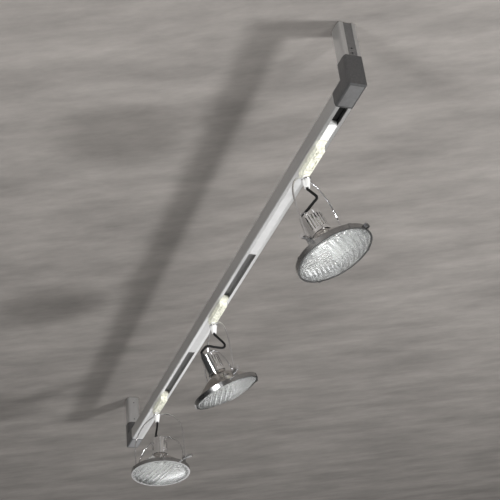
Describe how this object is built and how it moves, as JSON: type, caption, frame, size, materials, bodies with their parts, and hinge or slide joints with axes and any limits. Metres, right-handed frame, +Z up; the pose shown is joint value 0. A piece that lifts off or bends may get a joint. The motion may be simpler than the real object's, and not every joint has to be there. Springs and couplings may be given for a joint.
{
  "type": "track lighting fixture",
  "caption": "Ceiling-mounted track beam on legs, with panning and tilting wire-yoke spotlights.",
  "frame": {"origin": "on the ceiling plane, midway between the two legs", "axes": "+X along the beam to the near leg, +Z up to the ceiling, +Y across the beam"},
  "size_m": [1.974, 0.2262, 0.4303],
  "materials": {
    "silver_aluminium": "satin",
    "dark_casting": "satin",
    "grey_panel": "satin",
    "zinc_steel": "satin",
    "dark_steel": "satin",
    "grey_plastic": "matte",
    "tinned_copper": "satin",
    "white_plastic": "gloss",
    "white_strip": "matte",
    "cream_plastic": "matte",
    "chrome_wire": "polished",
    "mirrored_glass": "polished",
    "clear_glass": "polished",
    "ceramic": "matte",
    "chrome_can": "polished",
    "black_plastic": "matte",
    "black_rubber": "matte"
  },
  "bodies": {
    "fixture": {"beam_profile": "silver_aluminium", "near_leg_profile": "silver_aluminium", "far_leg_profile": "silver_aluminium", "near_elbow": "dark_casting", "far_elbow": "dark_casting", "elbow_covers": "grey_panel", "leg_inserts": "grey_panel", "near_ceiling_bracket": "zinc_steel", "far_ceiling_bracket": "zinc_steel", "grub_screws": "dark_steel", "track_insulator": "grey_plastic", "conductor_rails": "tinned_copper", "feed_connector": "white_plastic", "contact_blades": "tinned_copper", "slot_cover_strips": "white_strip", "near_adaptor": "cream_plastic", "middle_adaptor": "cream_plastic", "far_adaptor": "cream_plastic"},
    "near_lever": {"near_lock_lever": "cream_plastic"},
    "near_pan": {"near_stem": "white_plastic", "near_yoke": "chrome_wire"},
    "near_head": {"near_rim_ring": "zinc_steel", "near_fasteners": "dark_steel", "near_reflector": "mirrored_glass", "near_lens": "clear_glass", "near_lampholder": "ceramic", "near_can": "chrome_can", "near_bail": "chrome_wire", "near_gland": "black_plastic", "near_lead": "black_rubber"},
    "near_knob": {"near_tilt_knob": "chrome_wire"},
    "middle_lever": {"middle_lock_lever": "cream_plastic"},
    "middle_pan": {"middle_stem": "white_plastic", "middle_yoke": "chrome_wire"},
    "middle_head": {"middle_rim_ring": "zinc_steel", "middle_fasteners": "dark_steel", "middle_reflector": "mirrored_glass", "middle_lens": "clear_glass", "middle_lampholder": "ceramic", "middle_can": "chrome_can", "middle_bail": "chrome_wire", "middle_gland": "black_plastic", "middle_lead": "black_rubber"},
    "middle_knob": {"middle_tilt_knob": "chrome_wire"},
    "far_lever": {"far_lock_lever": "cream_plastic"},
    "far_pan": {"far_stem": "white_plastic", "far_yoke": "chrome_wire"},
    "far_head": {"far_rim_ring": "zinc_steel", "far_fasteners": "dark_steel", "far_reflector": "mirrored_glass", "far_lens": "clear_glass", "far_lampholder": "ceramic", "far_can": "chrome_can", "far_bail": "chrome_wire", "far_gland": "black_plastic", "far_lead": "black_rubber"},
    "far_knob": {"far_tilt_knob": "chrome_wire"}
  },
  "joints": [
    {"name": "near_lever_turn", "type": "hinge", "parent": "fixture", "child": "near_lever", "pos_m": [0.75, 0, -0.185], "axis": [0, 0, 1], "range_deg": [0, 90]},
    {"name": "near_pan_turn", "type": "hinge", "parent": "fixture", "child": "near_pan", "pos_m": [0.68, 0, -0.171], "axis": [0, 0, 1], "range_deg": [-170, 170]},
    {"name": "near_tilt", "type": "hinge", "parent": "near_pan", "child": "near_head", "pos_m": [0.67392, 0.03701, -0.369], "axis": [0.5528, -0.8109, -0.1918], "range_deg": [-62, 38], "deforming": ["near_lead"]},
    {"name": "near_knob_turn", "type": "hinge", "parent": "near_head", "child": "near_knob", "pos_m": [0.67392, 0.03701, -0.369], "axis": [0.5528, -0.8109, -0.1918], "range_deg": [0, 360]},
    {"name": "middle_lever_turn", "type": "hinge", "parent": "fixture", "child": "middle_lever", "pos_m": [0.042, 0, -0.185], "axis": [0, 0, 1], "range_deg": [0, 90]},
    {"name": "middle_pan_turn", "type": "hinge", "parent": "fixture", "child": "middle_pan", "pos_m": [-0.028, 0, -0.171], "axis": [0, 0, 1], "range_deg": [-170, 170]},
    {"name": "middle_tilt", "type": "hinge", "parent": "middle_pan", "child": "middle_head", "pos_m": [-0.03419, 0.01551, -0.37221], "axis": [0.9994, 0, -0.0349], "range_deg": [-68, 32], "deforming": ["middle_lead"]},
    {"name": "middle_knob_turn", "type": "hinge", "parent": "middle_head", "child": "middle_knob", "pos_m": [-0.03419, 0.01551, -0.37221], "axis": [0.9994, 0, -0.0349], "range_deg": [0, 360]},
    {"name": "far_lever_turn", "type": "hinge", "parent": "fixture", "child": "far_lever", "pos_m": [-0.581, 0, -0.185], "axis": [0, 0, 1], "range_deg": [0, 90]},
    {"name": "far_pan_turn", "type": "hinge", "parent": "fixture", "child": "far_pan", "pos_m": [-0.651, 0, -0.171], "axis": [0, 0, 1], "range_deg": [-170, 170]},
    {"name": "far_tilt", "type": "hinge", "parent": "far_pan", "child": "far_head", "pos_m": [-0.64168, 0, -0.37276], "axis": [0.7761, 0.6293, 0.0407], "range_deg": [-48, 52], "deforming": ["far_lead"]},
    {"name": "far_knob_turn", "type": "hinge", "parent": "far_head", "child": "far_knob", "pos_m": [-0.64168, 0, -0.37276], "axis": [0.7761, 0.6293, 0.0407], "range_deg": [0, 360]}
  ]
}
